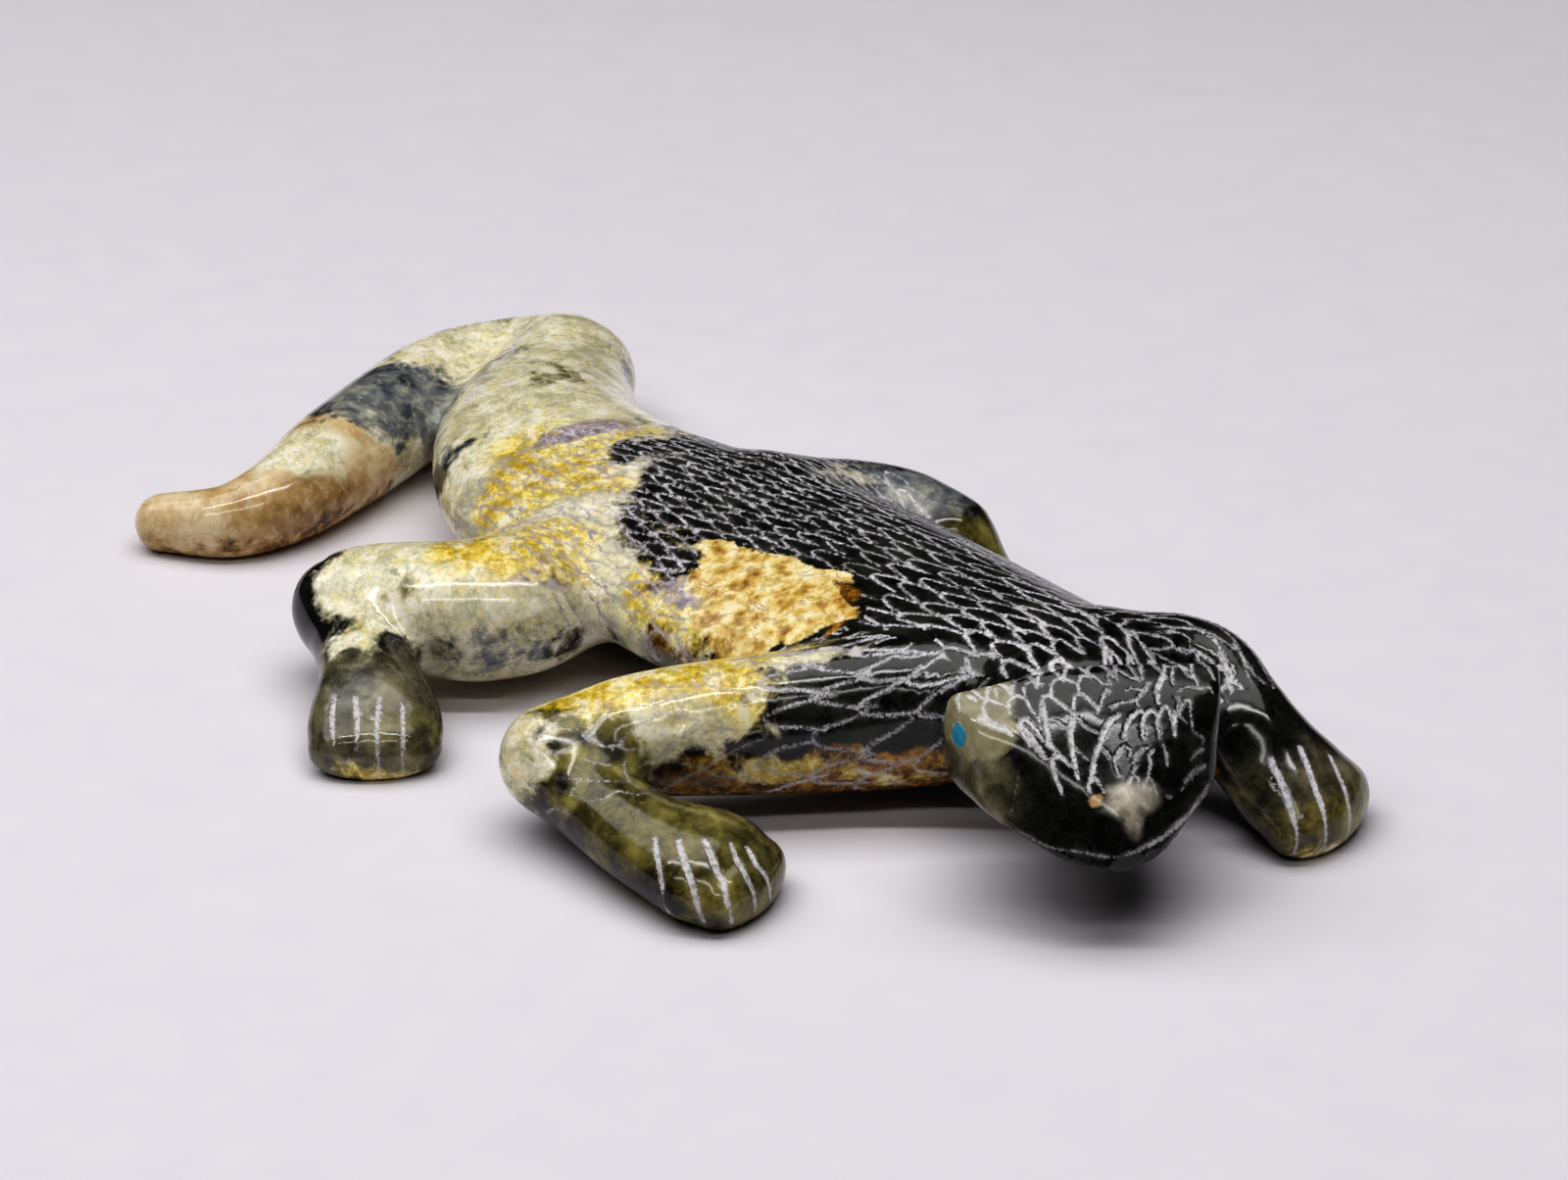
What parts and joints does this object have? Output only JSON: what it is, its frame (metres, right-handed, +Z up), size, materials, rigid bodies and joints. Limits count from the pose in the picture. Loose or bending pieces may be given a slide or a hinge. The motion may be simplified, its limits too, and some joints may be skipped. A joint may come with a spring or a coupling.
{
  "type": "zuni fetish",
  "caption": "Small polished serpentine carving of a crawling lizard with a curled tail, scratched scales and inlaid turquoise eyes; a shelf figure that stands on its feet and tail.",
  "frame": {"origin": "middle of the carving's outline on the surface that it stands on", "axes": "+Z up; +Y along the body from the nose (at -Y) to the bend of the tail (at +Y); +X toward the animal's left"},
  "size_m": [0.0706, 0.1114, 0.0166],
  "materials": {
    "serpentine": "polished",
    "turquoise": "polished"
  },
  "bodies": {
    "root": {"stone_lizard": "serpentine", "eye_right": "turquoise", "eye_left": "turquoise"}
  },
  "joints": []
}
